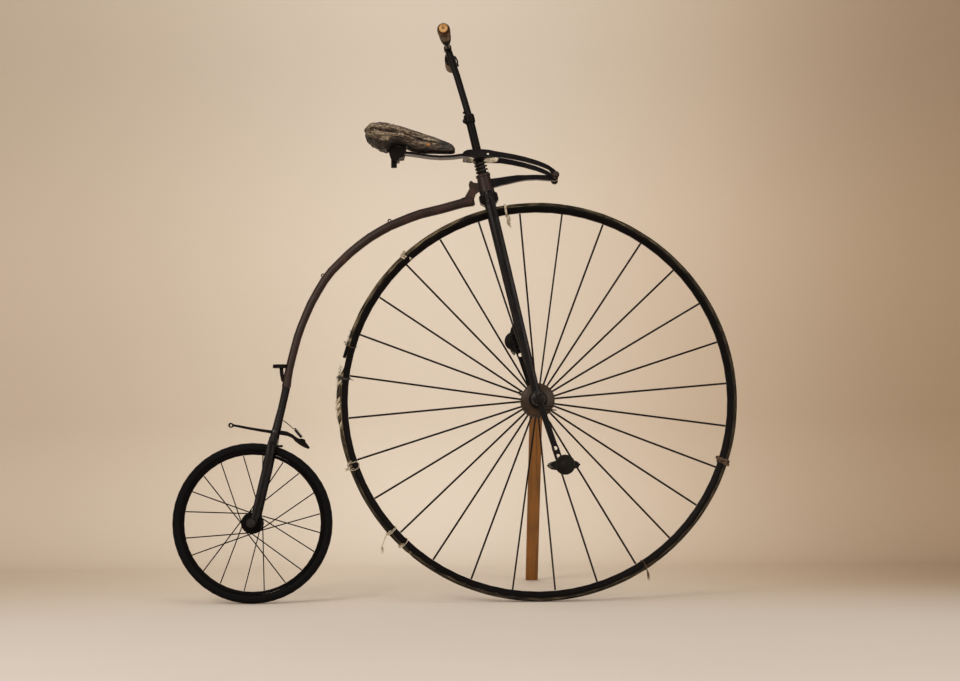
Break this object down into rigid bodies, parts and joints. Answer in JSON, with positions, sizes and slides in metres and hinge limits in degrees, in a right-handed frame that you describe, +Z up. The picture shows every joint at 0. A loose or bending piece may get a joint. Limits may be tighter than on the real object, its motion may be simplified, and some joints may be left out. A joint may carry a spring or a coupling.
{
  "type": "velocipede with a large front wheel and a small rear wheel, leaning on a prop",
  "caption": "Iron velocipede with a large cranked front wheel, small rear wheel, curved backbone, sprung leather saddle and handlebar, leaning on a wooden prop.",
  "frame": {"origin": "middle of the footprint box, on the floor", "axes": "+X is the way it rides, +Y is the rider's left, towards the prop, and +Z is up; the machine leans 4.5 degrees towards +Y"},
  "size_m": [1.4366, 0.7418, 1.4488],
  "materials": {
    "backbone": "worn black finish over iron, rusted",
    "steering_head": "worn black finish over iron, rusted",
    "spring_arm": "worn black finish over iron, rusted",
    "saddle_spring": "worn black finish over iron, rusted",
    "spring_bolt": "worn black finish over iron, rusted",
    "coil_spring": "worn black finish over iron, rusted",
    "spring_seat": "worn black finish over iron, rusted",
    "saddle_clamp": "worn black finish over iron, rusted",
    "rear_fork_crown": "worn black finish over iron, rusted",
    "rear_blade_right": "worn black finish over iron, rusted",
    "rear_blade_left": "worn black finish over iron, rusted",
    "rear_axle": "worn black finish over iron, rusted",
    "mounting_step": "worn black finish over iron, rusted",
    "brake_lever": "worn black finish over iron, rusted",
    "brake_pivot": "worn black finish over iron, rusted",
    "brake_spring": "worn black finish over iron, rusted",
    "saddle": "aged wrinkled leather",
    "fork_crown": "worn black finish over iron, rusted",
    "fork_blade_right": "worn black finish over iron, rusted",
    "fork_blade_left": "worn black finish over iron, rusted",
    "stem_tube": "worn black finish over iron, rusted",
    "stem_collar": "worn black finish over iron, rusted",
    "handlebar_post": "worn black finish over iron, rusted",
    "handlebar": "worn black finish over iron, rusted",
    "post_hook": "worn black finish over iron, rusted",
    "grip_right": "worn turned wood",
    "grip_left": "worn turned wood",
    "prop": "rough sawn wood",
    "front_hub": "worn black finish over iron, rusted",
    "front_rim": "worn black finish over iron, rusted",
    "crank_right": "worn black finish over iron, rusted",
    "crank_left": "worn black finish over iron, rusted",
    "front_tyre": "perished rubber",
    "pedal_right": "worn iron",
    "pedal_left": "worn iron",
    "rear_hub": "worn black finish over iron, rusted",
    "rear_rim": "worn black finish over iron, rusted",
    "rear_tyre": "rubber"
  },
  "bodies": {
    "frame": {"backbone": "backbone", "steering_head": "steering_head", "spring_arm": "spring_arm", "saddle_spring": "saddle_spring", "spring_bolt": "spring_bolt", "coil_spring": "coil_spring", "spring_seat": "spring_seat", "saddle_clamp": "saddle_clamp", "rear_fork_crown": "rear_fork_crown", "rear_blade_right": "rear_blade_right", "rear_blade_left": "rear_blade_left", "rear_axle": "rear_axle", "mounting_step": "mounting_step", "brake_lever": "brake_lever", "brake_pivot": "brake_pivot", "brake_spring": "brake_spring", "saddle": "saddle"},
    "fork": {"fork_crown": "fork_crown", "fork_blade_right": "fork_blade_right", "fork_blade_left": "fork_blade_left", "stem_tube": "stem_tube", "stem_collar": "stem_collar", "handlebar_post": "handlebar_post", "handlebar": "handlebar", "post_hook": "post_hook", "grip_right": "grip_right", "grip_left": "grip_left", "prop": "prop"},
    "front_wheel": {"front_hub": "front_hub", "front_rim": "front_rim", "crank_right": "crank_right", "crank_left": "crank_left", "front_tyre": "front_tyre"},
    "pedal_right_body": {"pedal_right": "pedal_right"},
    "pedal_left_body": {"pedal_left": "pedal_left"},
    "rear_wheel": {"rear_hub": "rear_hub", "rear_rim": "rear_rim", "rear_tyre": "rear_tyre"}
  },
  "joints": [
    {"name": "steering", "type": "hinge", "parent": "frame", "child": "fork", "pos_m": [0.2103, -0.15473, 0.50675], "axis": [-0.225, 0.0764, 0.9714], "range_deg": [-45, 45]},
    {"name": "front_wheel_spin", "type": "hinge", "parent": "fork", "child": "front_wheel", "pos_m": [0.2103, -0.15473, 0.50675], "axis": [0, 0.9969, -0.0785], "continuous": true},
    {"name": "pedal_right_spin", "type": "hinge", "parent": "front_wheel", "child": "pedal_right_body", "pos_m": [0.26587, -0.27359, 0.34753], "axis": [-0.0698, 0.9945, -0.0783], "continuous": true},
    {"name": "pedal_left_spin", "type": "hinge", "parent": "front_wheel", "child": "pedal_left_body", "pos_m": [0.15472, -0.14155, 0.67427], "axis": [0, 0.9969, -0.0785], "continuous": true},
    {"name": "rear_wheel_spin", "type": "hinge", "parent": "frame", "child": "rear_wheel", "pos_m": [-0.5151, -0.17864, 0.20289], "axis": [0, 0.9969, -0.0785], "continuous": true}
  ]
}
